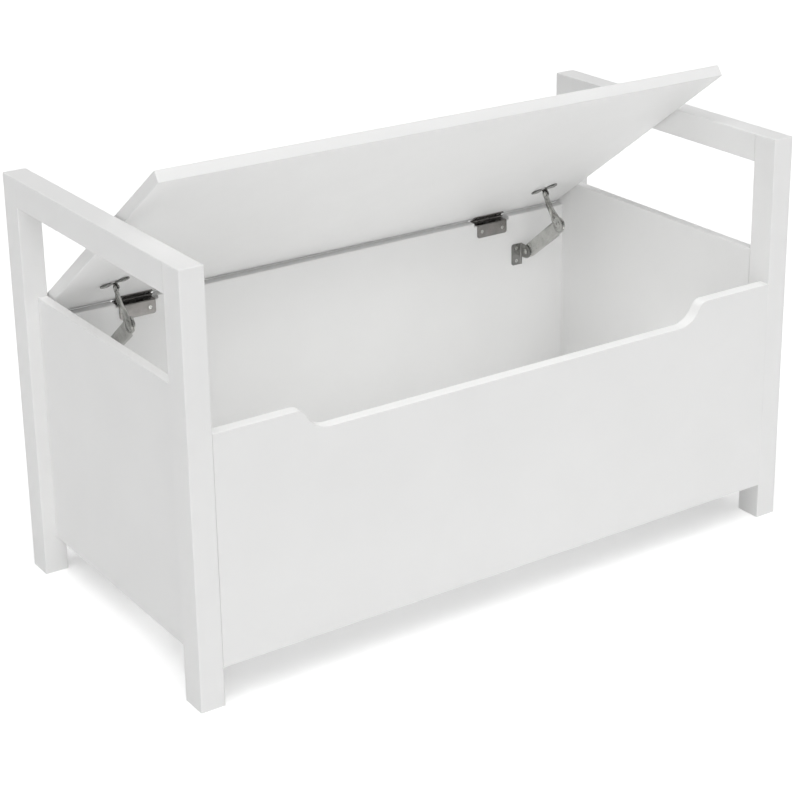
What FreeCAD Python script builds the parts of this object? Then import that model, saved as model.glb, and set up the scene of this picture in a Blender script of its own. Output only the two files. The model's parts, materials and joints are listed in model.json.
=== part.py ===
import FreeCAD, Part
import math
import os

os.makedirs("parts", exist_ok=True)
V = FreeCAD.Vector
X, Y, Z = V(1, 0, 0), V(0, 1, 0), V(0, 0, 1)

# Storage bench. Millimetres, +Z up, front towards -Y. The origin is on the floor in the
# middle of the four legs. The pieces are made with the lid down and the lid's own pieces
# are then raised to the rest opening.

# overall sizes
length = 1000.0
depth = 510.0
height = 600.0

# side frames
leg_width = 35.0
leg_depth = 42.0
arm_rail_height = 42.0
edge_ease = 1.5
hinge_edge_ease = 0.5
front_edge_ease = 1.0

# panels
panel_floor_gap = 55.0
side_panel_thickness = 15.0
side_panel_top = 424.0
front_panel_thickness = 18.0
back_panel_thickness = 18.0
back_panel_inset = 3.0
back_panel_gap = 0.5
bottom_panel_thickness = 10.0
bottom_panel_lift = 15.0
cleat_leg_lap = 7.0

# lid
lid_thickness = 18.0
lid_underside = 381.0
lid_side_gap = 2.5
lid_front_setback = 14.0
lid_front_gap = 0.8
rest_opening = 36.6

# finger scoop in the front panel's top edge
scoop_depth = 32.0
scoop_shoulder = 120.0
scoop_run = 50.0
scoop_shoulder_share = 0.3

# lid hinges
hinge_from_stay = 61.0
hinge_length = 58.0
hinge_sheet = 1.8
knuckle_radius = 3.0
hinge_pin_radius = 1.5
knuckle_count = 5
hinge_frame_leaf_drop = 20.0
hinge_lid_leaf_reach = 15.0
hinge_axis_from_rear = 5.0
knuckle_gap = 0.3
hinge_screw_inset = 9.0
hinge_recess_margin = 5.5

# lid stays
stay_from_leg = 85.0
stay_sheet = 1.8
stay_layer_gap = 0.6
stay_foot_out = 14.0
stay_foot_drop = 59.2
stay_lid_reach = 95.6
stay_lid_drop = 9.0
lower_arm_length = 108.4
upper_arm_length = 55.7
upper_arm_width = 11.0
upper_arm_eye_radius = 6.0
upper_arm_waist_share = 0.45
lower_arm_width = 21.0
lower_arm_channel = 8.0
knee_radius = 12.0
knee_hole_radius = 7.0
knee_washer_radius = 10.6
rivet_radius = 2.5
bracket_width = 20.0
bracket_length = 36.0
bracket_below_foot = 6.5
bracket_ear_radius = 11.0
sheet_corner = 4.0
lid_plate_length = 44.0
lid_plate_width = 12.0
lid_plate_turn = 32.0
stay_screw_inset = 7.0

# fixings
screw_head_radius = 3.1
screw_shank_radius = 1.5
screw_length = 13.0
screw_recess_share = 0.6
screw_recess_width = 0.7
screw_recess_depth = 0.9
dowel_radius = 4.0
dowel_depth = 24.0
dowel_spacing = 100.0
dowel_edge = 35.0
bore_clearance = 0.05

# places that follow from the sizes
side = length / 2
front = -depth / 2
rear = depth / 2
inner_side = side - leg_width
stay_from_middle = inner_side - stay_from_leg
hinge_from_middle = stay_from_middle - hinge_from_stay
front_panel_back = front + front_panel_thickness
back_panel_rear = rear - back_panel_inset
back_panel_front = back_panel_rear - back_panel_thickness
front_panel_top = lid_underside - lid_front_gap
back_panel_top = lid_underside - back_panel_gap
hinge_seat = lid_underside - 2 * knuckle_radius
hinge_axis_y = rear - hinge_axis_from_rear
hinge_axis_z = lid_underside - knuckle_radius
# the cleats leave a strip of the rear legs for the end cleats to lap on
cleat_size = leg_depth - back_panel_inset - back_panel_thickness - cleat_leg_lap
bottom_top = panel_floor_gap + bottom_panel_lift + bottom_panel_thickness
cleat_top = bottom_top - bottom_panel_thickness


def box(x0, x1, y0, y1, z0, z1):
    return Part.makeBox(x1 - x0, y1 - y0, z1 - z0, V(x0, y0, z0))


def rod(radius, start, direction, run):
    return Part.makeCylinder(radius, run, start, direction)


def runs_along(edge, axis):
    reach = edge.BoundBox
    lengths = {"x": reach.XLength, "y": reach.YLength, "z": reach.ZLength}
    return lengths.pop(axis) > 1 and max(lengths.values()) < 0.01


def eased(shape, radius, wanted):
    return shape.makeFillet(radius, [edge for edge in shape.Edges if wanted(edge)])


def mirrored(shape):
    return shape.mirror(V(0, 0, 0), X)


def joined(shapes):
    whole = shapes[0]
    for shape in shapes[1:]:
        whole = whole.fuse(shape)
    return whole.removeSplitter()


def without(shape, tools):
    for tool in tools:
        shape = shape.cut(tool)
    return shape


# ---------------------------------------------------------------- dowels

def dowel_heights(low, high):
    count = int((high - low - 2 * dowel_edge) / dowel_spacing) + 1
    return [low + dowel_edge + dowel_spacing * index for index in range(count)]


arm_rail_front = front + leg_depth
arm_rail_rear = rear - leg_depth
arm_rail_bottom = height - arm_rail_height
frame_joints = (arm_rail_front, arm_rail_rear)


def dowel_along_y(x, y, z, grow):
    return rod(dowel_radius + grow, V(x, y - dowel_depth, z), Y, 2 * dowel_depth)


def dowel_along_x(x, y, z, grow):
    return rod(dowel_radius + grow, V(x - dowel_depth, y, z), X, 2 * dowel_depth)


def arm_dowels(grow=0.0):
    x = side - leg_width / 2
    heights = (arm_rail_bottom + arm_rail_height / 4, height - arm_rail_height / 4)
    return [dowel_along_y(sign * x, y, z, grow)
            for sign in (-1, 1) for y in frame_joints for z in heights]


def side_panel_dowels(grow=0.0):
    x = inner_side + side_panel_thickness / 2
    heights = dowel_heights(panel_floor_gap, side_panel_top)
    return [dowel_along_y(sign * x, y, z, grow)
            for sign in (-1, 1) for y in frame_joints for z in heights]


def end_dowels(y, top, grow):
    """Half a spacing above the side panel's dowels, so that they pass each other in the legs."""
    heights = dowel_heights(panel_floor_gap + dowel_spacing / 2, top)
    return [dowel_along_x(sign * inner_side, y, z, grow) for sign in (-1, 1) for z in heights]


def front_panel_dowels(grow=0.0):
    return end_dowels(front + front_panel_thickness / 2, front_panel_top - scoop_depth, grow)


def back_panel_dowels(grow=0.0):
    return end_dowels(back_panel_rear - back_panel_thickness / 2, back_panel_top, grow)


def dowel_bores():
    return (arm_dowels(bore_clearance) + side_panel_dowels(bore_clearance)
            + front_panel_dowels(bore_clearance) + back_panel_dowels(bore_clearance))


# ---------------------------------------------------------------- screws

def screw(place, outward, length_in):
    """Countersunk screw with a cross recess; place is on the face its head is flush with."""
    taper = screw_head_radius - screw_shank_radius
    head = Part.makeCone(screw_head_radius, screw_shank_radius, taper, V(0, 0, 0), V(0, 0, -1))
    shank = rod(screw_shank_radius, V(0, 0, -taper), V(0, 0, -1), length_in - taper - 2)
    point = Part.makeCone(screw_shank_radius, 0.4, 2, V(0, 0, 2 - length_in), V(0, 0, -1))
    body = joined([head, shank, point])
    reach, half = screw_recess_share * screw_head_radius, screw_recess_width / 2
    for turn in (0, 90):
        slot = box(-reach, reach, -half, half, -screw_recess_depth, 0.1)
        slot.rotate(V(0, 0, 0), Z, turn + 45)
        body = body.cut(slot)
    body.Placement = FreeCAD.Placement(place, FreeCAD.Rotation(Z, outward))
    return body


def screw_bore(place, outward, length_in):
    taper = screw_head_radius - screw_shank_radius
    head = Part.makeCone(screw_head_radius + bore_clearance, screw_shank_radius + bore_clearance,
                         taper, V(0, 0, 0), V(0, 0, -1))
    shank = rod(screw_shank_radius + bore_clearance, V(0, 0, -taper), V(0, 0, -1),
                length_in - taper + bore_clearance)
    body = joined([head, shank])
    body.Placement = FreeCAD.Placement(place, FreeCAD.Rotation(Z, outward))
    return body


def hinge_screw_x():
    across = hinge_length / 2 - hinge_screw_inset
    return [sign * hinge_from_middle + way * across for sign in (-1, 1) for way in (-1, 1)]


def hinge_frame_screws():
    z = hinge_seat - hinge_frame_leaf_drop / 2
    return [(V(x, back_panel_front - hinge_sheet, z), V(0, -1, 0)) for x in hinge_screw_x()]


def hinge_lid_screws():
    y = hinge_axis_y - (hinge_lid_leaf_reach + knuckle_radius) / 2
    return [(V(x, y, lid_underside - hinge_sheet), V(0, 0, -1)) for x in hinge_screw_x()]


def stay_bracket_screws():
    x = stay_layer_gap + (bracket_width + stay_sheet) / 2
    rise = bracket_length / 2 - stay_screw_inset
    return [(V(place - x, back_panel_front - stay_sheet, bracket_middle() + way * rise), V(0, -1, 0))
            for place in stay_places() for way in (-1, 1)]


def stay_lid_screws():
    y = hinge_axis_y - stay_lid_reach
    turn = math.radians(lid_plate_turn)
    reach = lid_plate_length / 2 - stay_screw_inset
    return [(V(place + way * reach * math.cos(turn), y - way * reach * math.sin(turn),
               lid_underside - stay_sheet), V(0, 0, -1))
            for place in stay_places() for way in (-1, 1)]


def screws(places):
    return Part.makeCompound([screw(place, outward, screw_length) for place, outward in places])


def screw_bores(places):
    return [screw_bore(place, outward, screw_length) for place, outward in places]


# ---------------------------------------------------------------- side frames and box

def leg(x0, y0, rail_side):
    x1, y1 = x0 + leg_width, y0 + leg_depth
    joint = y1 if rail_side > 0 else y0
    post = box(x0, x1, y0, y1, 0, height)

    def wanted(edge):
        if runs_along(edge, "z"):
            return True
        at_top = abs(edge.BoundBox.Center.z - height) < 0.01
        return at_top and abs(edge.BoundBox.Center.y - joint) > 0.01
    return without(eased(post, edge_ease, wanted), dowel_bores())


def arm_rail():
    rail = box(inner_side, side, arm_rail_front, arm_rail_rear, arm_rail_bottom, height)
    rail = eased(rail, edge_ease, lambda edge: runs_along(edge, "y"))
    return without(rail, arm_dowels(bore_clearance))


def side_panel():
    panel = box(inner_side, inner_side + side_panel_thickness, arm_rail_front, arm_rail_rear,
                panel_floor_gap, side_panel_top)
    panel = eased(panel, edge_ease, lambda edge: runs_along(edge, "y"))
    return without(panel, side_panel_dowels(bore_clearance))


def scoop_side(sign):
    """Shoulder curve of the scoop: a tight convex arc, then a wide hollow one."""
    turn = 2 * math.atan2(scoop_depth, scoop_run)
    both = scoop_run / math.sin(turn)
    tight = both * scoop_shoulder_share
    wide = both - tight
    start = inner_side - scoop_shoulder
    end = start - scoop_run
    low = front_panel_top - scoop_depth

    def on_tight(angle):
        return V(sign * (start - tight * math.sin(angle)), 0,
                 front_panel_top - tight * (1 - math.cos(angle)))

    def on_wide(angle):
        return V(sign * (end + wide * math.sin(angle)), 0, low + wide * (1 - math.cos(angle)))
    convex = Part.Arc(on_tight(0), on_tight(turn / 2), on_tight(turn)).toShape()
    hollow = Part.Arc(on_wide(turn), on_wide(turn / 2), on_wide(0)).toShape()
    return [convex, hollow], on_tight(0), on_wide(0)


def front_panel():
    right_arcs, right_shoulder, right_low = scoop_side(1)
    left_arcs, left_shoulder, left_low = scoop_side(-1)
    bottom_left = V(-inner_side, 0, panel_floor_gap)
    bottom_right = V(inner_side, 0, panel_floor_gap)
    top_right = V(inner_side, 0, front_panel_top)
    top_left = V(-inner_side, 0, front_panel_top)
    edges = [Part.makeLine(bottom_left, bottom_right), Part.makeLine(bottom_right, top_right),
             Part.makeLine(top_right, right_shoulder)] + right_arcs
    edges += [Part.makeLine(right_low, left_low)] + left_arcs
    edges += [Part.makeLine(left_shoulder, top_left), Part.makeLine(top_left, bottom_left)]
    outline = Part.Wire(Part.__sortEdges__(edges))
    panel = Part.Face(outline).extrude(V(0, front_panel_thickness, 0))
    panel.translate(V(0, front, 0))

    def wanted(edge):
        middle = edge.BoundBox
        return middle.YLength < 0.01 and (middle.XLength > 1 or middle.ZMin > panel_floor_gap + 1)
    return without(eased(panel, front_edge_ease, wanted), front_panel_dowels(bore_clearance))


def back_panel():
    panel = box(-inner_side, inner_side, back_panel_front, back_panel_rear,
                panel_floor_gap, back_panel_top)
    for radius, y in ((edge_ease, back_panel_front), (hinge_edge_ease, back_panel_rear)):
        panel = eased(panel, radius, lambda edge: runs_along(edge, "x")
                      and abs(edge.BoundBox.Center.y - y) < 0.01)
    holes = back_panel_dowels(bore_clearance)
    reach = hinge_length / 2 + hinge_recess_margin
    for sign in (-1, 1):
        middle = sign * hinge_from_middle
        holes.append(box(middle - reach, middle + reach, back_panel_front - 1,
                         back_panel_rear + 1, hinge_seat, back_panel_top + 1))
    holes += screw_bores(hinge_frame_screws() + stay_bracket_screws())
    return without(panel, holes)


def bottom_panel():
    return box(-inner_side, inner_side, front_panel_back, back_panel_front,
               cleat_top, bottom_top)


def long_cleat(y0):
    return box(-inner_side, inner_side, y0, y0 + cleat_size, cleat_top - cleat_size, cleat_top)


def end_cleat():
    return box(inner_side - cleat_size, inner_side, front_panel_back + cleat_size,
               back_panel_front - cleat_size, cleat_top - cleat_size, cleat_top)


# ---------------------------------------------------------------- lid

def raised(shape):
    """Turn a piece of the lid about the hinge axis to its rest opening."""
    shape = shape.copy()
    shape.rotate(V(0, hinge_axis_y, hinge_axis_z), V(-1, 0, 0), rest_opening)
    return shape


def seat_lid():
    half = inner_side - lid_side_gap
    board = box(-half, half, front + lid_front_setback, hinge_axis_y - 1,
                lid_underside, lid_underside + lid_thickness)

    def at_hinge(edge):
        middle = edge.BoundBox.Center
        return runs_along(edge, "x") and middle.y > 0 and middle.z < lid_underside + 1
    board = eased(board, edge_ease, lambda edge: not at_hinge(edge))
    return raised(without(board, screw_bores(hinge_lid_screws() + stay_lid_screws())))


# ---------------------------------------------------------------- hinges

def knuckles(middle, first):
    """Barrel segments of one leaf: every second one, starting with the given one."""
    pitch = hinge_length / knuckle_count
    start = middle - hinge_length / 2
    return [(start + index * pitch + knuckle_gap / 2, start + (index + 1) * pitch - knuckle_gap / 2)
            for index in range(first, knuckle_count, 2)]


def barrel(x0, x1):
    return rod(knuckle_radius, V(x0, hinge_axis_y, hinge_axis_z), X, x1 - x0)


def pin_bore(middle):
    return rod(hinge_pin_radius + bore_clearance,
               V(middle - hinge_length, hinge_axis_y, hinge_axis_z), X, 2 * hinge_length)


def hinge_frame_leaf(middle):
    x0, x1 = middle - hinge_length / 2, middle + hinge_length / 2
    near = back_panel_front - hinge_sheet
    flat_end = hinge_axis_y - knuckle_radius - 2 * knuckle_gap
    upright = box(x0, x1, near, back_panel_front, hinge_seat - hinge_frame_leaf_drop,
                  hinge_seat + hinge_sheet)
    upright = eased(upright, sheet_corner, lambda edge: runs_along(edge, "y")
                    and edge.BoundBox.Center.z < hinge_seat - 1)
    upright = eased(upright, hinge_sheet * 0.8, lambda edge: runs_along(edge, "x")
                    and edge.BoundBox.Center.z > hinge_seat + 1
                    and edge.BoundBox.Center.y < back_panel_front - 1)
    flat = box(x0, x1, back_panel_front - 0.2, flat_end, hinge_seat,
               hinge_seat + hinge_sheet)
    solids = [upright, flat]
    for a, b in knuckles(middle, 0):
        solids += [barrel(a, b), box(a, b, flat_end - 0.5, hinge_axis_y, hinge_seat,
                                     hinge_seat + hinge_sheet)]
    leaf = joined(solids)
    holes = [pin_bore(middle)] + screw_bores(hinge_frame_screws())
    return without(leaf, holes)


def hinge_lid_leaf(middle):
    x0, x1 = middle - hinge_length / 2, middle + hinge_length / 2
    flat_end = hinge_axis_y - knuckle_radius - 2 * knuckle_gap
    low = lid_underside - hinge_sheet
    flat = box(x0, x1, hinge_axis_y - hinge_lid_leaf_reach, flat_end, low, lid_underside)
    flat = eased(flat, 3.0, lambda edge: runs_along(edge, "z")
                 and edge.BoundBox.Center.y < flat_end - 1)
    solids = [flat]
    for a, b in knuckles(middle, 1):
        solids += [barrel(a, b), box(a, b, flat_end - 0.5, hinge_axis_y, low, lid_underside)]
    leaf = joined(solids)
    return raised(without(leaf, [pin_bore(middle)] + screw_bores(hinge_lid_screws())))


def hinge_pin(middle):
    x0, x1 = middle - hinge_length / 2, middle + hinge_length / 2
    centre = V(x0, hinge_axis_y, hinge_axis_z)
    shaft = rod(hinge_pin_radius, centre, X, hinge_length)
    head_radius = knuckle_radius - 0.4
    ends = []
    for x, way in ((x0, V(-1, 0, 0)), (x1, X)):
        place = V(x, hinge_axis_y, hinge_axis_z)
        ends += [rod(head_radius, place, way, 1.6),
                 Part.makeCone(head_radius, 1.2, 2.4, place + way * 1.6, way)]
    return joined([shaft] + ends)


# ---------------------------------------------------------------- lid stays

def stay_places():
    return (-stay_from_middle, stay_from_middle)


def turned(point, degrees):
    """A point of the lid (y, z) turned open about the hinge axis."""
    angle = math.radians(degrees)
    dy, dz = point[0] - hinge_axis_y, point[1] - hinge_axis_z
    return (hinge_axis_y + dy * math.cos(angle) + dz * math.sin(angle),
            hinge_axis_z - dy * math.sin(angle) + dz * math.cos(angle))


stay_foot = (back_panel_front - stay_foot_out, hinge_axis_z - stay_foot_drop)
stay_eye = turned((hinge_axis_y - stay_lid_reach, lid_underside - stay_lid_drop), rest_opening)


def find_knee():
    """Where the two arms meet in front of the line from the foot to the eye."""
    dy, dz = stay_eye[0] - stay_foot[0], stay_eye[1] - stay_foot[1]
    span = math.hypot(dy, dz)
    along = (span ** 2 + lower_arm_length ** 2 - upper_arm_length ** 2) / (2 * span)
    off = math.sqrt(lower_arm_length ** 2 - along ** 2)
    return (stay_foot[0] + (along * dy - off * dz) / span,
            stay_foot[1] + (along * dz + off * dy) / span)


stay_knee = find_knee()


def bracket_middle():
    return stay_foot[1] - bracket_below_foot


def disc(x0, x1, centre, radius):
    return rod(radius, V(x0, centre[0], centre[1]), X, x1 - x0)


def bar(x0, x1, start, end, start_width, end_width):
    """Flat tapered bar in the plane of the stay, from one pivot to the other."""
    dy, dz = end[0] - start[0], end[1] - start[1]
    span = math.hypot(dy, dz)
    ny, nz = -dz / span, dy / span
    corners = [(start, start_width / 2), (end, end_width / 2),
               (end, -end_width / 2), (start, -start_width / 2)]
    points = [V(x0, place[0] + ny * half, place[1] + nz * half) for place, half in corners]
    outline = Part.makePolygon(points + [points[0]])
    return Part.Face(outline).extrude(V(x1 - x0, 0, 0))


def between(start, end, share):
    return (start[0] + (end[0] - start[0]) * share, start[1] + (end[1] - start[1]) * share)


def stay_bracket(place):
    x1 = place - stay_layer_gap
    x0 = x1 - stay_sheet
    low, high = bracket_middle() - bracket_length / 2, bracket_middle() + bracket_length / 2
    plate = box(x1 - bracket_width, x1, back_panel_front - stay_sheet, back_panel_front, low, high)
    plate = eased(plate, sheet_corner, lambda edge: runs_along(edge, "y")
                  and edge.BoundBox.Center.x < x0)
    ear = box(x0, x1, stay_foot[0], back_panel_front - 0.2,
              stay_foot[1] - bracket_ear_radius, stay_foot[1] + bracket_ear_radius)
    bracket = joined([plate, ear, disc(x0, x1, stay_foot, bracket_ear_radius)])
    holes = [disc(x0 - 1, x1 + 1, stay_foot, rivet_radius + bore_clearance)]
    return without(bracket, holes + screw_bores(stay_bracket_screws()))


def stay_lower_arm(place):
    x0, x1 = place, place + stay_sheet
    half = lower_arm_width / 2
    channel_end = between(stay_foot, stay_knee, 1 - 1.55 * knee_radius / lower_arm_length)
    web = bar(x0, x1, stay_foot, stay_knee, lower_arm_width, 2 * knee_radius)
    solids = [web, disc(x0, x1, stay_foot, half), disc(x0, x1, stay_knee, knee_radius)]
    channel = bar(x0, place + lower_arm_channel, stay_foot, channel_end,
                  lower_arm_width, lower_arm_width)
    hollow = bar(x1, place + lower_arm_channel + 1, stay_foot, channel_end,
                 lower_arm_width - 2 * stay_sheet, lower_arm_width - 2 * stay_sheet)
    hollow = hollow.fuse(disc(x1, place + lower_arm_channel + 1, channel_end,
                              half - stay_sheet))
    solids.append(channel.cut(hollow))
    arm = joined(solids)
    holes = [disc(x0 - 1, x1 + 9, stay_foot, rivet_radius + bore_clearance),
             disc(x0 - 1, x1 + 9, stay_knee, knee_hole_radius)]
    return without(arm, holes)


def stay_upper_arm(place):
    x1 = place - stay_layer_gap
    x0 = x1 - stay_sheet
    waist = between(stay_eye, stay_knee, upper_arm_waist_share)
    solids = [disc(x0, x1, stay_eye, upper_arm_eye_radius),
              bar(x0, x1, stay_eye, waist, upper_arm_width, upper_arm_width),
              bar(x0, x1, waist, stay_knee, upper_arm_width, 2 * knee_radius),
              disc(x0, x1, stay_knee, knee_radius)]
    arm = joined(solids)
    holes = [disc(x0 - 1, x1 + 1, stay_eye, rivet_radius + bore_clearance),
             disc(x0 - 1, x1 + 1, stay_knee, rivet_radius + bore_clearance)]
    return without(arm, holes)


def dome(x, centre, radius, rise, way):
    """Shallow domed rivet head standing on a flat at x."""
    ball = (radius ** 2 + rise ** 2) / (2 * rise)
    sphere = Part.makeSphere(ball, V(x + way * (rise - ball), centre[0], centre[1]))
    slab = disc(min(x, x + way * rise), max(x, x + way * rise), centre, radius)
    return sphere.common(slab)


def rivet(centre, x0, x1, near_radius, far_radius):
    """Pin through the layers from x0 to x1 with a domed head at x0 and a flat one at x1."""
    return joined([disc(x0 - 0.2, x1 + 0.2, centre, rivet_radius),
                   disc(x0 - 0.6, x0, centre, near_radius),
                   dome(x0 - 0.6, centre, near_radius, 1.6, -1),
                   disc(x1, x1 + 1.2, centre, far_radius)])


def foot_rivet(place):
    return rivet(stay_foot, place - stay_layer_gap - stay_sheet,
                 place + stay_sheet + 0.4, 4.5, 4.5)


def knee_rivet(place):
    return rivet(stay_knee, place - stay_layer_gap - stay_sheet,
                 place + stay_sheet + 0.5, 5.5, knee_washer_radius)


def eye_rivet(place):
    return rivet(stay_eye, place - stay_layer_gap - stay_sheet - 0.4,
                 place + stay_sheet, 4.0, 4.0)


def stay_lid_plate(place):
    """Plate turned on the lid's underside with one ear down to the eye; made lid-down."""
    y = hinge_axis_y - stay_lid_reach
    low = lid_underside - stay_sheet
    half, half_width = lid_plate_length / 2, lid_plate_width / 2
    wings = box(place - half, place + half, y - half_width, y + half_width, low, lid_underside)
    wings = eased(wings, half_width - 1, lambda edge: runs_along(edge, "z"))
    wings.rotate(V(place, y, 0), Z, -lid_plate_turn)
    eye = (y, lid_underside - stay_lid_drop)
    ear = box(place, place + stay_sheet, y - half_width, y + half_width,
              eye[1], lid_underside - 0.2)
    plate = joined([wings, ear, disc(place, place + stay_sheet, eye, half_width)])
    holes = [disc(place - 1, place + stay_sheet + 1, eye, rivet_radius + bore_clearance)]
    return raised(without(plate, holes + screw_bores(stay_lid_screws())))


# ---------------------------------------------------------------- the set of pieces

def raised_screws(places):
    return raised(screws(places))


right_side_frame = {
    "arm_rail": arm_rail(),
    "side_panel": side_panel(),
    "bottom_cleat": end_cleat(),
}

pieces = {
    "front_left_leg": leg(-side, front, 1),
    "rear_left_leg": leg(-side, rear - leg_depth, -1),
    "front_right_leg": leg(inner_side, front, 1),
    "rear_right_leg": leg(inner_side, rear - leg_depth, -1),
    "front_panel": front_panel(),
    "back_panel": back_panel(),
    "bottom_panel": bottom_panel(),
    "front_bottom_cleat": long_cleat(front_panel_back),
    "rear_bottom_cleat": long_cleat(back_panel_front - cleat_size),
    "arm_dowels": Part.makeCompound(arm_dowels()),
    "side_panel_dowels": Part.makeCompound(side_panel_dowels()),
    "front_panel_dowels": Part.makeCompound(front_panel_dowels()),
    "back_panel_dowels": Part.makeCompound(back_panel_dowels()),
    "seat_lid": seat_lid(),
    "hinge_frame_screws": screws(hinge_frame_screws()),
    "hinge_lid_screws": raised_screws(hinge_lid_screws()),
    "stay_bracket_screws": screws(stay_bracket_screws()),
    "stay_lid_screws": raised_screws(stay_lid_screws()),
    "stay_foot_rivets": Part.makeCompound([foot_rivet(place) for place in stay_places()]),
    "stay_eye_rivets": Part.makeCompound([eye_rivet(place) for place in stay_places()]),
}

for name, shape in right_side_frame.items():
    pieces["right_" + name] = shape
    pieces["left_" + name] = mirrored(shape)

for hand, sign in (("left", -1), ("right", 1)):
    pieces[hand + "_hinge_frame_leaf"] = hinge_frame_leaf(sign * hinge_from_middle)
    pieces[hand + "_hinge_lid_leaf"] = hinge_lid_leaf(sign * hinge_from_middle)
    pieces[hand + "_hinge_pin"] = hinge_pin(sign * hinge_from_middle)
    pieces[hand + "_stay_bracket"] = stay_bracket(sign * stay_from_middle)
    pieces[hand + "_stay_lower_arm"] = stay_lower_arm(sign * stay_from_middle)
    pieces[hand + "_stay_upper_arm"] = stay_upper_arm(sign * stay_from_middle)
    pieces[hand + "_stay_knee_rivet"] = knee_rivet(sign * stay_from_middle)
    pieces[hand + "_stay_lid_plate"] = stay_lid_plate(sign * stay_from_middle)

for name, shape in pieces.items():
    shape.exportStep("parts/" + name + ".step")
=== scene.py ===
"""Storage bench with a hinged seat lid: paint, wood and plated steel around the bench's frame.

Laid out as an add-on and run as a script. Everything is in metres, in the frame's own space.
"""

import json
import math

import bmesh
import bpy
from bpy.props import FloatProperty, FloatVectorProperty, PointerProperty
from bpy.types import Operator, Panel, PropertyGroup
from mathutils import Matrix, Vector


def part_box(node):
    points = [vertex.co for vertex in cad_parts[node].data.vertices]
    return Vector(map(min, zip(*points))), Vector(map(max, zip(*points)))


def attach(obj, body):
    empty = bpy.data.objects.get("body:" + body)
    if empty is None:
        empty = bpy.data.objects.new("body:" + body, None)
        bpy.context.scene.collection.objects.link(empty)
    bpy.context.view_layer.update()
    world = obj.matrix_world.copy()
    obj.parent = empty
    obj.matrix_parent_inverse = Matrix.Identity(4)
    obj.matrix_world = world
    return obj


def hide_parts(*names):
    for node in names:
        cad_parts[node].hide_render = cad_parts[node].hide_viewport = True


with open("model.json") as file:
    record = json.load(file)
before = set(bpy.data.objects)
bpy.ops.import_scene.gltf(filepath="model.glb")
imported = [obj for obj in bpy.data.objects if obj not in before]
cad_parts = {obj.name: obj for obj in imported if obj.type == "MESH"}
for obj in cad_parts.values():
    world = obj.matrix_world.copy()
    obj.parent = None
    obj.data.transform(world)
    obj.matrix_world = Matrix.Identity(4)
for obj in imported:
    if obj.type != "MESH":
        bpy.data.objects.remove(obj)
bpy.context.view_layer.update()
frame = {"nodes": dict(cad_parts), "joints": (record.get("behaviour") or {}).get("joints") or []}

bl_info = {
    "name": "Storage Bench",
    "version": (1, 0, 0),
    "blender": (4, 5, 0),
    "location": "View3D > Sidebar > Bench",
    "description": "Dresses a white storage bench with a hinged seat lid and folding lid stays",
    "category": "Object",
}

SIDES = ("left", "right")

# camera: place in metres, then azimuth, elevation and roll in degrees, then the lens shift
CAMERA_PLACE = (-1.5367, -2.2867, 1.3842)
CAMERA_TURN = (35.056, 19.467, -0.375)
CAMERA_SHIFT = (-0.06, -0.15)

# pressed sheet: least sizes that keep a section from folding over itself, in metres
CLOSED_END = 0.0001
LEAST_WEB = 0.0002
LEAST_FLANGE = 0.0003
WELD_DISTANCE = 0.000002
END_ROWS = 9
FOLD_ROOM = 1.01

# pressed sheet: angles, in degrees, from which an edge is shaded sharp or rounded
SHARP_FROM = 32
ROUNDED_FROM = 50

# lid stays, in metres and degrees
ARM_FOOT_RADIUS = 0.0105
ARM_KNEE_RADIUS = 0.012
EYE_BELOW_LID = 0.009
LID_PLATE_TURN = 32


# ---------------------------------------------------------------- settings

class BenchFinish(PropertyGroup):
    """Colours and surface of the bench's finishes."""

    paint_colour: FloatVectorProperty(
        name="Paint", description="Colour of the white lacquer",
        subtype="COLOR", default=(0.88, 0.88, 0.875), min=0, max=1)
    paint_roughness: FloatProperty(
        name="Paint roughness", description="How dull the lacquer is",
        default=0.42, min=0.05, max=1, subtype="FACTOR")
    roller_texture: FloatProperty(
        name="Roller texture", description="Width of one dimple of the lacquer's fine texture",
        default=0.0022, min=0.0005, max=0.02, unit="LENGTH")
    beech_colour: FloatVectorProperty(
        name="Beech", description="Colour of the dowels",
        subtype="COLOR", default=(0.56, 0.36, 0.19), min=0, max=1)
    # painted reflection and shade: the nickel is darkened far below real nickel to stand in for
    # the dark reflections and shade on the hinges
    hinge_shaded_colour: FloatVectorProperty(
        name="Nickel plating", description="Colour of the hinges",
        subtype="COLOR", default=(0.30, 0.29, 0.28), min=0, max=1)
    stay_colour: FloatVectorProperty(
        name="Zinc plating", description="Colour of the lid stays' arms and rivets",
        subtype="COLOR", default=(0.58, 0.58, 0.56), min=0, max=1)
    # painted shade: this colour is the stays' zinc darkened to stand in for the shade on the
    # brackets and lid plates, not a darker plating
    painted_shade_fitting_colour: FloatVectorProperty(
        name="Dark zinc plating", description="Colour of the stays' brackets and lid plates",
        subtype="COLOR", default=(0.30, 0.30, 0.29), min=0, max=1)
    screw_colour: FloatVectorProperty(
        name="Screw plating", description="Colour of the screws",
        subtype="COLOR", default=(0.74, 0.74, 0.72), min=0, max=1)


class BenchHardware(PropertyGroup):
    """Pressed shapes of the lid stays."""

    sheet: FloatProperty(
        name="Sheet", description="Thickness of the stays' steel sheet",
        default=0.0016, min=0.0005, max=0.004, unit="LENGTH", precision=4)
    bend: FloatProperty(
        name="Bend", description="Radius of the folds in the sheet, at its middle",
        default=0.0016, min=0.0005, max=0.004, unit="LENGTH", precision=4)
    corner: FloatProperty(
        name="Corner", description="Rounding of the sheet's cut corners",
        default=0.00025, min=0.00005, max=0.001, unit="LENGTH", precision=5)
    boss_height: FloatProperty(
        name="Knee boss", description="Height of the pressed oval around the knee rivet",
        default=0.0009, min=0, max=0.003, unit="LENGTH", precision=4)
    lip_height: FloatProperty(
        name="Upper arm lip", description="Height of the folded lips of the upper arm",
        default=0.0034, min=0.001, max=0.006, unit="LENGTH", precision=4)


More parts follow.
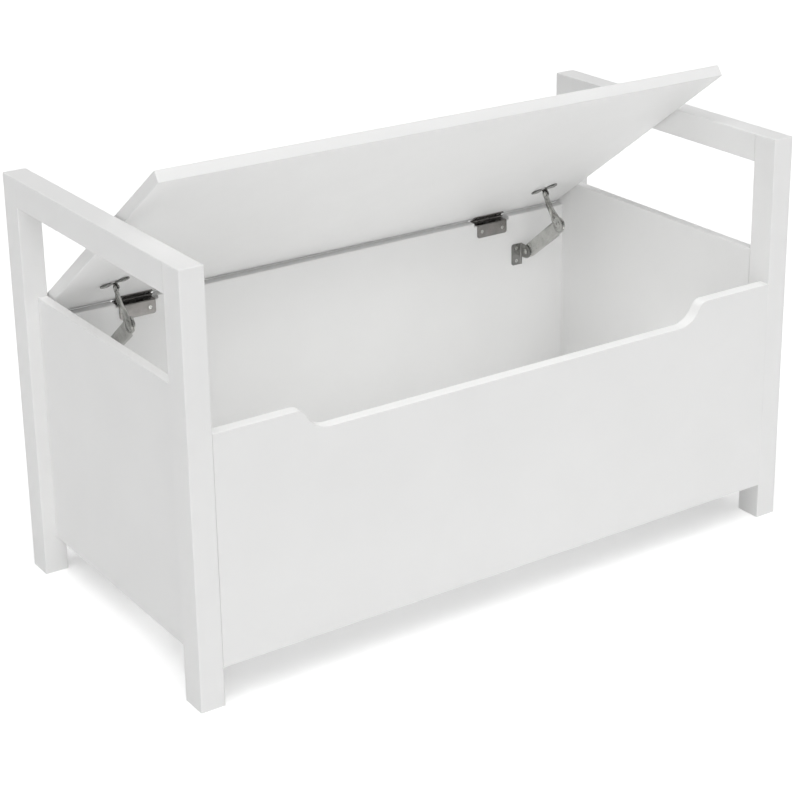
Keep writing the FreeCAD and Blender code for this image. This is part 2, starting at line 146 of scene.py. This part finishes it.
class BenchStage(PropertyGroup):
    """The floor, lights and camera."""

    floor_colour: FloatVectorProperty(
        name="Floor", description="Colour of the floor",
        subtype="COLOR", default=(0.97, 0.97, 0.97), min=0, max=1)
    floor_width: FloatProperty(
        name="Floor width", description="Side of the square floor",
        default=60.0, min=5, unit="LENGTH")
    floor_lift: FloatProperty(
        name="Floor lift", description="How much the floor is lightened to look at",
        default=0.3, min=0)
    sky_light: FloatProperty(
        name="Surrounding light", description="Strength of the light from all round",
        default=0.17, min=0)
    top_light: FloatProperty(
        name="Top light", description="Strength of the soft light overhead",
        default=2.2, min=0)
    front_light: FloatProperty(
        name="Front light", description="Strength of the soft light before the bench",
        default=0.62, min=0)
    box_light: FloatProperty(
        name="Box light", description="Power of the small fill light low in the box",
        default=1.05, min=0, unit="POWER")
    focal_length: FloatProperty(
        name="Lens", description="Focal length of the camera",
        default=0.0912735, min=0.01, unit="LENGTH", precision=4)


class BenchSettings(PropertyGroup):
    """Everything that a user would change."""

    finish: PointerProperty(type=BenchFinish)
    hardware: PointerProperty(type=BenchHardware)
    stage: PointerProperty(type=BenchStage)


def settings():
    return bpy.context.scene.storage_bench


# ---------------------------------------------------------------- shader help

class Nodes:
    """A material's node tree, with its main shader and short ways to add to it."""

    def __init__(self, name):
        self.material = bpy.data.materials.new(name)
        self.material.use_nodes = True
        self.tree = self.material.node_tree
        self.shader = self.tree.nodes["Principled BSDF"]

    def add(self, kind, links=(), **values):
        """A node with its inputs set by name; links pairs each input with its source."""
        node = self.tree.nodes.new("ShaderNode" + kind)
        for name, value in values.items():
            if hasattr(node, name):
                setattr(node, name, value)
            else:
                node.inputs[name.replace("_", " ")].default_value = value
        for name, source in links:
            self.tree.links.new(source, node.inputs[name])
        return node

    def feed(self, name, source):
        self.tree.links.new(source, self.shader.inputs[name])

    def place(self, stretch=(1, 1, 1)):
        """Object coordinates, stretched for a grain or a brushed line."""
        at = self.add("TexCoord").outputs["Object"]
        spread = self.add("Mapping", [("Vector", at)])
        spread.inputs["Scale"].default_value = stretch
        return spread.outputs["Vector"]

    def spots(self, at, size, detail=3.0, rough=0.55):
        noise = self.add("TexNoise", [("Vector", at)], Scale=1 / size, Detail=detail,
                         Roughness=rough)
        return noise.outputs["Fac"]

    def ramp(self, source, low, high, at_low, at_high):
        """Spread a 0 to 1 value between two others."""
        node = self.add("MapRange", [("Value", source)])
        for name, value in zip(("From Min", "From Max", "To Min", "To Max"),
                               (low, high, at_low, at_high)):
            node.inputs[name].default_value = value
        return node.outputs["Result"]

    def blend_colour(self, source, first, second):
        node = self.add("Mix", data_type="RGBA")
        self.tree.links.new(source, node.inputs["Factor"])
        node.inputs["A"].default_value = (*first, 1)
        node.inputs["B"].default_value = (*second, 1)
        return node.outputs["Result"]

    def cover(self, below, colour, source):
        """Lay one colour over another node's colour, as much as source says."""
        node = self.add("Mix", data_type="RGBA")
        self.tree.links.new(below, node.inputs["A"])
        node.inputs["B"].default_value = (*colour, 1)
        self.tree.links.new(source, node.inputs["Factor"])
        return node.outputs["Result"]

    def bump(self, source, depth, below=None):
        node = self.add("Bump", [("Height", source)], Strength=1.0, Distance=depth)
        if below:
            self.tree.links.new(below, node.inputs["Normal"])
        return node.outputs["Normal"]


def shade(colour, share):
    return tuple(channel * share for channel in colour)


def corner_mask(nodes, width):
    """1 along sharp corners and 0 on flats, from how far a normal rounded over width leans."""
    rounded = nodes.add("Bevel", samples=4, Radius=width).outputs["Normal"]
    true = nodes.add("NewGeometry").outputs["True Normal"]
    lean = nodes.add("VectorMath", operation="DOT_PRODUCT")
    nodes.tree.links.new(rounded, lean.inputs[0])
    nodes.tree.links.new(true, lean.inputs[1])
    return nodes.ramp(lean.outputs["Value"], 0.98, 0.80, 0.0, 1.0)


def white_lacquer():
    """Sprayed white lacquer: fine orange peel, faint board unevenness, slightly darker along the
    corners.
    """
    finish = settings().finish
    nodes = Nodes("white_lacquer")
    at = nodes.place()
    clouds = nodes.spots(at, size=0.11, detail=2.0)
    peel = nodes.spots(at, size=finish.roller_texture, detail=2.0, rough=0.5)
    board = nodes.spots(at, size=0.024, detail=4.0)
    corners = corner_mask(nodes, width=0.0012)
    white = nodes.blend_colour(nodes.ramp(clouds, 0.35, 0.65, 0, 1),
                               shade(finish.paint_colour, 0.985), finish.paint_colour)
    # darker along the corners: up to half of 93 per cent of the paint colour laid over each sharp
    # corner
    nodes.feed("Base Color", nodes.cover(white, shade(finish.paint_colour, 0.93),
                                         nodes.ramp(corners, 0, 1, 0.0, 0.5)))
    nodes.feed("Roughness", nodes.ramp(board, 0.3, 0.7, finish.paint_roughness - 0.04,
                                       finish.paint_roughness + 0.05))
    flow = nodes.bump(board, depth=0.00006)
    nodes.feed("Normal", nodes.bump(peel, depth=0.00002, below=flow))
    nodes.shader.inputs["Specular IOR Level"].default_value = 0.45
    return nodes.material


def turned_beech():
    """Plain beech with short dark flecks along the dowel."""
    finish = settings().finish
    nodes = Nodes("beech")
    grain = nodes.spots(nodes.place((6, 6, 60)), size=0.01, detail=5.0, rough=0.7)
    nodes.feed("Base Color", nodes.blend_colour(nodes.ramp(grain, 0.35, 0.65, 0, 1),
                                                shade(finish.beech_colour, 0.7),
                                                finish.beech_colour))
    nodes.feed("Roughness", nodes.ramp(grain, 0.3, 0.7, 0.5, 0.75))
    nodes.feed("Normal", nodes.bump(grain, depth=0.0001))
    return nodes.material


def plated_steel(name, colour, roughness, brush=(1, 14, 14)):
    """Plated pressed steel: brushed lines, cloudy plating, and painted shade that darkens its
    folds and corners.
    """
    nodes = Nodes(name)
    lines = nodes.spots(nodes.place(brush), size=0.010, detail=6.0, rough=0.75)
    clouds = nodes.spots(nodes.place(), size=0.014, detail=3.0, rough=0.5)
    corners = corner_mask(nodes, width=0.0010)
    plating = nodes.blend_colour(nodes.ramp(clouds, 0.35, 0.62, 0, 1),
                                 shade(colour, 0.86), colour)
    # painted shade: folds and corners darkened to a quarter of the colour, standing in for dark
    # reflections and shade along the edges
    nodes.feed("Base Color", nodes.cover(plating, shade(colour, 0.25),
                                         nodes.ramp(corners, 0, 1, 0.0, 0.8)))
    nodes.feed("Roughness", nodes.ramp(lines, 0.3, 0.7, roughness - 0.06, roughness + 0.08))
    nodes.feed("Normal", nodes.bump(lines, depth=0.000012))
    nodes.shader.inputs["Metallic"].default_value = 1.0
    return nodes.material


def hinge_nickel():
    # the hinges' nickel colour is darkened as painted reflection and shade
    return plated_steel("hinge_nickel", settings().finish.hinge_shaded_colour, 0.20)


def stay_zinc():
    return plated_steel("stay_zinc", settings().finish.stay_colour, 0.24, brush=(14, 2, 2))


def shaded_fitting_zinc():
    """The stays' brackets and lid plates: the arms' zinc darkened as painted shade."""
    return plated_steel("shaded_fitting_zinc", settings().finish.painted_shade_fitting_colour, 0.22, brush=(14, 2, 2))


def screw_steel():
    return plated_steel("screw_steel", settings().finish.screw_colour, 0.28, brush=(5, 5, 5))


def give(names, material):
    """Put one material on every slot of these nodes of the frame."""
    for name in names:
        mesh = frame["nodes"][name].data
        mesh.materials.clear()
        mesh.materials.append(material)


# ---------------------------------------------------------------- pressed sheet

def smooth_step(value, low, high):
    share = min(1.0, max(0.0, (value - low) / (high - low)))
    return share * share * (3 - 2 * share)


def arc(centre, radius, start, end, steps=5):
    """Points on an arc in a section, angles in degrees."""
    turns = [math.radians(start + (end - start) * step / steps) for step in range(steps + 1)]
    return [(centre[0] + radius * math.cos(turn), centre[1] + radius * math.sin(turn))
            for turn in turns]


def ribbon(path, thickness):
    """Outline of a sheet whose middle follows path: one face forwards, then the other back."""
    near, far = [], []
    for index, (u, v) in enumerate(path):
        before, after = path[max(index - 1, 0)], path[min(index + 1, len(path) - 1)]
        du, dv = after[0] - before[0], after[1] - before[1]
        span = math.hypot(du, dv) or 1
        side_u, side_v = -dv / span * thickness / 2, du / span * thickness / 2
        near.append((u + side_u, v + side_v))
        far.append((u - side_u, v - side_v))
    return near + far[::-1]


def skin(name, rings, material):
    """Closed sheet piece from a row of ribbon outlines, each a list of points in space."""
    build = bmesh.new()
    rows = [[build.verts.new(point) for point in ring] for ring in rings]
    count = len(rows[0])
    for row, following in zip(rows, rows[1:]):
        for index in range(count):
            after = (index + 1) % count
            build.faces.new((row[index], row[after], following[after], following[index]))
    for row in (rows[0], rows[-1]):
        for index in range(count // 2 - 1):
            build.faces.new((row[index], row[index + 1],
                             row[count - 2 - index], row[count - 1 - index]))
    bmesh.ops.remove_doubles(build, verts=build.verts, dist=WELD_DISTANCE)
    bmesh.ops.recalc_face_normals(build, faces=build.faces)
    mesh = bpy.data.meshes.new(name)
    build.to_mesh(mesh)
    build.free()
    mesh.materials.append(material)
    mesh.polygons.foreach_set("use_smooth", [True] * len(mesh.polygons))
    mesh.set_sharp_from_angle(angle=math.radians(SHARP_FROM))
    piece = bpy.data.objects.new(name, mesh)
    bpy.context.scene.collection.objects.link(piece)
    rounding = piece.modifiers.new("cut_edges", "BEVEL")
    rounding.width, rounding.segments = settings().hardware.corner, 2
    rounding.limit_method, rounding.angle_limit = "ANGLE", math.radians(ROUNDED_FROM)
    return piece


def rows_along(low, high, end_radius, steps):
    """Places along a piece, closer together over its two round ends."""
    turns = [math.radians(90 / (END_ROWS + 1) * step) for step in range(1, END_ROWS + 1)]
    ends = [end_radius * (1 - math.cos(turn)) for turn in turns]
    first = [low + CLOSED_END] + [low + place for place in ends]
    last = [high - place for place in reversed(ends)] + [high - CLOSED_END]
    middle = [first[-1] + (last[0] - first[-1]) * step / steps for step in range(1, steps)]
    return first + middle + last


def half_round(radius, past):
    """Half width of a round end at a distance past its middle, never quite closed."""
    return math.sqrt(max(radius ** 2 - past ** 2, CLOSED_END ** 2))


def rounded_half_width(place, length, start, end):
    """Half width at a place along a bar with a half-round end of its own radius at each pivot."""
    if place < 0:
        return half_round(start, place)
    if place > length:
        return half_round(end, place - length)
    return start + (end - start) * place / length


def joint_place(name):
    return Vector(next(j["pos_m"] for j in frame["joints"] if j["name"] == name))


def middle_of(node):
    low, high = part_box(node)
    return (low + high) / 2


def in_stay_plane(start, end, face_x):
    """Map along, across and out of a stay arm to space; the arm runs from start to end."""
    ahead = Vector((0, end.y - start.y, end.z - start.z)).normalized()
    across = Vector((0, -ahead.z, ahead.y))

    def to_space(along, aside, out):
        return Vector((face_x + out, start.y, start.z)) + ahead * along + across * aside
    return to_space


def lid_turned(point, way=1):
    """Carry a point from the lid down to the lid's rest opening, or back with way -1."""
    hinge = joint_place("lid_hinge")
    closed = next(j["range_deg"][0] for j in frame["joints"] if j["name"] == "lid_hinge")
    return hinge + Matrix.Rotation(math.radians(way * closed), 3, "X") @ (point - hinge)


# ---------------------------------------------------------------- lid stay pieces

def channel_path(half, height, bend):
    """Middle line of a channel section: two flanges of a height on a web."""
    height = min(height, max(half, LEAST_FLANGE))
    half = max(half, LEAST_WEB)
    if height <= bend:
        return ([(half, height * (1 - step / 6)) for step in range(7)]
                + [(half * (1 - step / 6), 0.0) for step in range(1, 12)]
                + [(-half, height * step / 6) for step in range(7)])
    bend = min(bend, half * 0.9)
    web = half - bend
    return ([(half, height)] + arc((web, bend), bend, 0, -90)
            + [(web * (1 - step / 6), 0.0) for step in range(1, 12)]
            + arc((-web, bend), bend, -90, -180) + [(-half, height)])


def flange_height(bend, full, rise):
    """Height of a flange that grows from a bare fold to its full height as rise goes to 1."""
    least = bend * FOLD_ROOM
    return least + (full - least) * rise


def lower_arm(side, material):
    """Open channel from the bracket to the knee, running out to a flat round end."""
    sizes = settings().hardware
    foot, knee = joint_place(side + "_stay_foot"), middle_of(side + "_stay_knee_rivet")
    low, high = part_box(side + "_stay_lower_arm")
    length = math.hypot(knee.y - foot.y, knee.z - foot.z)
    to_space = in_stay_plane(foot, knee, low.x + sizes.sheet / 2)
    deep = high.x - low.x - sizes.sheet / 2
    rings = []
    for place in rows_along(-ARM_FOOT_RADIUS, length + ARM_KNEE_RADIUS, ARM_FOOT_RADIUS, 40):
        half = rounded_half_width(place, length, ARM_FOOT_RADIUS, ARM_KNEE_RADIUS)
        rise = (smooth_step(place, -0.004, 0.004)
                * (1 - smooth_step(place, 0.80 * length, 0.90 * length)))
        path = channel_path(half - sizes.sheet / 2, flange_height(sizes.bend, deep, rise),
                            sizes.bend)
        rings.append([to_space(place, u, v) for u, v in ribbon(path, sizes.sheet)])
    return skin(side + "_lower_arm_channel", rings, material)


def knee_boss(beyond_knee, aside):
    """0 to 1 on the pressed oval ring around the knee rivet."""
    back_of_knee, stretch = 0.003, 1.45
    away = math.hypot((beyond_knee + back_of_knee) / stretch, aside)
    return smooth_step(away, 0.0046, 0.0058) * (1 - smooth_step(away, 0.0072, 0.0084))


def upper_arm(side, material):
    """Narrow lipped arm that opens into a round knee plate with a pressed oval boss."""
    sizes = settings().hardware
    eye, knee = joint_place(side + "_stay_eye"), middle_of(side + "_stay_knee_rivet")
    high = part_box(side + "_stay_upper_arm")[1]
    length = math.hypot(knee.y - eye.y, knee.z - eye.z)
    to_space = in_stay_plane(eye, knee, high.x - sizes.sheet / 2)
    eye_end, eye_radius = 0.006, 0.0056
    rings = []
    for place in rows_along(-eye_end, length + ARM_KNEE_RADIUS, eye_end, 44):
        half = rounded_half_width(place, length, eye_radius, ARM_KNEE_RADIUS)
        if 0 <= place <= length:
            half = eye_radius + (ARM_KNEE_RADIUS - eye_radius) * smooth_step(
                place, 0.42 * length, 0.98 * length)
        rise = (smooth_step(place, 0.10 * length, 0.26 * length)
                * (1 - smooth_step(place, 0.48 * length, 0.72 * length)))
        path = channel_path(half - sizes.sheet / 2,
                            flange_height(sizes.bend, sizes.lip_height, rise), sizes.bend)
        lifted = [(u, -v - sizes.boss_height * knee_boss(place - length, u)) for u, v in path]
        rings.append([to_space(place, u, v) for u, v in ribbon(lifted, sizes.sheet)])
    return skin(side + "_upper_arm_pressing", rings, material)


def bracket(side, material):
    """Screw plate on the back panel, folded into a round ear that holds the foot rivet."""
    sizes = settings().hardware
    foot = joint_place(side + "_stay_foot")
    low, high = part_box(side + "_stay_bracket")
    ear_radius, corner = 0.011, 0.004
    wall, ear_x = high.y - sizes.sheet / 2, high.x - sizes.sheet / 2
    bend_x = ear_x - sizes.bend
    flat_ear = wall - sizes.bend * 1.05
    rings = []
    for height in rows_along(low.z, high.z, corner, 40):
        edge = min(height - low.z, high.z - height)
        inset = corner - math.sqrt(corner ** 2 - (corner - edge) ** 2) if edge < corner else 0
        off = height - foot.z
        reach = math.sqrt(ear_radius ** 2 - off ** 2) if abs(off) < ear_radius else 0
        ear_end = foot.y - reach if reach else flat_ear
        start = low.x + inset
        path = [(start + (bend_x - start) * step / 6, wall) for step in range(6)]
        path += arc((bend_x, wall - sizes.bend), sizes.bend, 90, 0)
        path.append((ear_x, ear_end))
        rings.append([Vector((u, v, height)) for u, v in ribbon(path, sizes.sheet)])
    return skin(side + "_stay_foot_bracket", rings, material)


def lid_plate_wings(side, material, eye):
    """Two round screw wings on the lid's underside; eye is the pivot with the lid down."""
    sheet = settings().hardware.sheet * 0.8
    turn = math.radians(LID_PLATE_TURN)
    lengthways = Vector((math.cos(turn), -math.sin(turn), 0))
    crossways = Vector((math.sin(turn), math.cos(turn), 0))
    length, wide, waist, rim_lift = 0.022, 0.0085, 0.0040, 0.0004
    middle = Vector((eye.x, eye.y, eye.z + EYE_BELOW_LID - sheet / 2))
    rings = []
    for place in rows_along(-length, length, wide, 40):
        tip = length - abs(place)
        half = waist + (wide - waist) * smooth_step(abs(place), 0.004, 0.013)
        if tip < wide:
            half = min(half, half_round(wide, wide - tip))
        path = [(half * (1 - step / 5), rim_lift * abs(1 - step / 5) ** 3) for step in range(11)]
        rings.append([lid_turned(middle + lengthways * place + crossways * u - Vector((0, 0, v)))
                      for u, v in ribbon(path, sheet)])
    return skin(side + "_lid_plate_wings", rings, material)


def lid_plate_ear(side, material, eye):
    """Ear folded down from the wings to the eye; eye is the pivot with the lid down."""
    radius, top = 0.006, 0.0085
    rings = []
    for place in rows_along(-radius, top, radius, 12):
        half = rounded_half_width(place, top, radius, radius)
        path = [(half * (1 - step / 5), 0.0) for step in range(11)]
        rings.append([lid_turned(eye + Vector((out, u, place)))
                      for u, out in ribbon(path, settings().hardware.sheet)])
    return skin(side + "_lid_plate_ear", rings, material)


# ---------------------------------------------------------------- operators

def sided(*names):
    return [side + "_" + name for name in names for side in SIDES]


class STORAGEBENCH_OT_boards(Operator):
    """White lacquer on the legs, rails, panels and lid"""

    bl_idname = "storage_bench.boards"
    bl_label = "Boards and legs"

    def execute(self, context):
        legs = [end + "_" + side + "_leg" for end in ("front", "rear") for side in SIDES]
        boards = ["front_panel", "back_panel", "bottom_panel", "front_bottom_cleat",
                  "rear_bottom_cleat", "seat_lid"]
        give(legs + boards + sided("arm_rail", "side_panel", "bottom_cleat"), white_lacquer())
        return {"FINISHED"}


class STORAGEBENCH_OT_dowels(Operator):
    """Beech for the dowels in the joints"""

    bl_idname = "storage_bench.dowels"
    bl_label = "Dowels"

    def execute(self, context):
        give(["arm_dowels", "side_panel_dowels", "front_panel_dowels", "back_panel_dowels"],
             turned_beech())
        return {"FINISHED"}


class STORAGEBENCH_OT_hinges(Operator):
    """The two lid hinges"""

    bl_idname = "storage_bench.hinges"
    bl_label = "Hinges"

    def execute(self, context):
        give(sided("hinge_frame_leaf", "hinge_lid_leaf", "hinge_pin"), hinge_nickel())
        return {"FINISHED"}


class STORAGEBENCH_OT_stays(Operator):
    """The two folding lid stays"""

    bl_idname = "storage_bench.stays"
    bl_label = "Lid stays"

    def execute(self, context):
        # the brackets and lid plates get the darker zinc, which is painted shade
        zinc, painted_shade_zinc = stay_zinc(), shaded_fitting_zinc()
        give(sided("stay_knee_rivet") + ["stay_foot_rivets", "stay_eye_rivets"], zinc)
        for side in SIDES:
            eye = lid_turned(joint_place(side + "_stay_eye"), way=-1)
            for piece, body, node in (
                    (bracket(side, painted_shade_zinc), "bench", "stay_bracket"),
                    (lower_arm(side, zinc), side + "_lower_arm", "stay_lower_arm"),
                    (upper_arm(side, zinc), side + "_upper_arm", "stay_upper_arm"),
                    (lid_plate_wings(side, painted_shade_zinc, eye), "lid", "stay_lid_plate"),
                    (lid_plate_ear(side, painted_shade_zinc, eye), "lid", "stay_lid_plate")):
                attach(piece, body)
                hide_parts(side + "_" + node)
        return {"FINISHED"}


class STORAGEBENCH_OT_screws(Operator):
    """Screws of the hinges and stays"""

    bl_idname = "storage_bench.screws"
    bl_label = "Screws"

    def execute(self, context):
        give(["hinge_frame_screws", "hinge_lid_screws", "stay_bracket_screws",
              "stay_lid_screws"], screw_steel())
        return {"FINISHED"}


def plain_plane(name, width, material):
    half = width / 2
    mesh = bpy.data.meshes.new(name)
    mesh.from_pydata([(-half, -half, 0), (half, -half, 0), (half, half, 0), (-half, half, 0)],
                     [], [(0, 1, 2, 3)])
    mesh.materials.append(material)
    plane = bpy.data.objects.new(name, mesh)
    bpy.context.scene.collection.objects.link(plane)
    return plane


def soft_sun(name, toward, strength, spread):
    """An even light from a wide patch of sky; toward points from the bench to the light."""
    data = bpy.data.lights.new(name, "SUN")
    data.energy, data.angle = strength, math.radians(spread)
    light = bpy.data.objects.new(name, data)
    light.rotation_euler = Vector(toward).to_track_quat("Z", "Y").to_euler()
    bpy.context.scene.collection.objects.link(light)


def fill_lamp(name, place, aim, size, power):
    """A small soft lamp that lights the bench and isn't seen itself."""
    data = bpy.data.lights.new(name, "AREA")
    data.shape, data.size, data.size_y, data.energy = "RECTANGLE", size[0], size[1], power
    light = bpy.data.objects.new(name, data)
    light.location = place
    light.visible_camera = False
    light.rotation_euler = (Vector(place) - Vector(aim)).to_track_quat("Z", "Y").to_euler()
    bpy.context.scene.collection.objects.link(light)


def white_surroundings(strength):
    """White to look at, and of the given strength as light."""
    world = bpy.data.worlds.new("studio")
    world.use_nodes = True
    tree = world.node_tree
    glow = tree.nodes["Background"]
    glow.inputs["Color"].default_value = (1, 1, 1, 1)
    path = tree.nodes.new("ShaderNodeLightPath")
    level = tree.nodes.new("ShaderNodeMapRange")
    level.inputs["To Min"].default_value = strength
    tree.links.new(path.outputs["Is Camera Ray"], level.inputs["Value"])
    tree.links.new(level.outputs["Result"], glow.inputs["Strength"])
    return world


def camera_turn(azimuth, elevation, roll):
    """Rotation of a camera that looks azimuth to the right of +Y and elevation downwards."""
    side, tilt = math.radians(azimuth), math.radians(elevation)
    ahead = Vector((math.sin(side) * math.cos(tilt), math.cos(side) * math.cos(tilt),
                    -math.sin(tilt)))
    right = Vector((math.cos(side), -math.sin(side), 0))
    level = Matrix((right, right.cross(ahead), -ahead)).transposed()
    return level @ Matrix.Rotation(math.radians(roll), 3, "Z")


class STORAGEBENCH_OT_stage(Operator):
    """Floor, soft light and camera"""

    bl_idname = "storage_bench.stage"
    bl_label = "Stage"

    def execute(self, context):
        stage, scene = settings().stage, context.scene
        scene.view_settings.view_transform = "Standard"

        camera = bpy.data.objects.new("camera", bpy.data.cameras.new("camera"))
        camera.data.lens = stage.focal_length * 1000
        camera.data.shift_x, camera.data.shift_y = CAMERA_SHIFT
        camera.location = CAMERA_PLACE
        camera.rotation_euler = camera_turn(*CAMERA_TURN).to_euler()
        scene.collection.objects.link(camera)
        scene.camera = camera

        pale = Nodes("studio_floor")
        pale.shader.inputs["Base Color"].default_value = (*stage.floor_colour, 1)
        pale.shader.inputs["Roughness"].default_value = 0.6
        pale.shader.inputs["Emission Color"].default_value = (1, 1, 1, 1)
        seen = pale.add("LightPath").outputs["Is Camera Ray"]
        pale.feed("Emission Strength", pale.ramp(seen, 0, 1, 0, stage.floor_lift))
        plain_plane("studio_floor", stage.floor_width, pale.material)

        scene.world = white_surroundings(stage.sky_light)
        soft_sun("top_light", toward=(-0.1, -0.2, 1), strength=stage.top_light, spread=70)
        soft_sun("front_light", toward=(-0.6, -1, 0.5), strength=stage.front_light, spread=40)
        fill_lamp("box_light", place=(0, -0.1, 0.1), aim=(0, 0.15, 0.45), size=(0.8, 0.25),
                  power=stage.box_light)
        return {"FINISHED"}


# ---------------------------------------------------------------- panel

class STORAGEBENCH_PT_panel(Panel):
    """Settings and steps of the storage bench"""

    bl_idname = "STORAGEBENCH_PT_panel"
    bl_label = "Storage Bench"
    bl_space_type = "VIEW_3D"
    bl_region_type = "UI"
    bl_category = "Bench"

    def draw(self, context):
        bench = context.scene.storage_bench
        for title, group in (("Finish", bench.finish), ("Hardware", bench.hardware),
                             ("Stage", bench.stage)):
            box = self.layout.box()
            box.label(text=title)
            for name in group.bl_rna.properties.keys():
                if name not in ("rna_type", "name"):
                    box.prop(group, name)
        for step in STEPS:
            self.layout.operator(step.bl_idname)


STEPS = (STORAGEBENCH_OT_stage, STORAGEBENCH_OT_boards, STORAGEBENCH_OT_dowels,
         STORAGEBENCH_OT_hinges, STORAGEBENCH_OT_stays, STORAGEBENCH_OT_screws)
CLASSES = (BenchFinish, BenchHardware, BenchStage, BenchSettings, *STEPS, STORAGEBENCH_PT_panel)


def register():
    for cls in CLASSES:
        bpy.utils.register_class(cls)
    bpy.types.Scene.storage_bench = PointerProperty(type=BenchSettings)


def unregister():
    del bpy.types.Scene.storage_bench
    for cls in reversed(CLASSES):
        bpy.utils.unregister_class(cls)


def main():
    register()
    bpy.ops.storage_bench.stage()
    bpy.ops.storage_bench.boards()
    bpy.ops.storage_bench.dowels()
    bpy.ops.storage_bench.hinges()
    bpy.ops.storage_bench.stays()
    bpy.ops.storage_bench.screws()


if __name__ == "__main__":
    main()
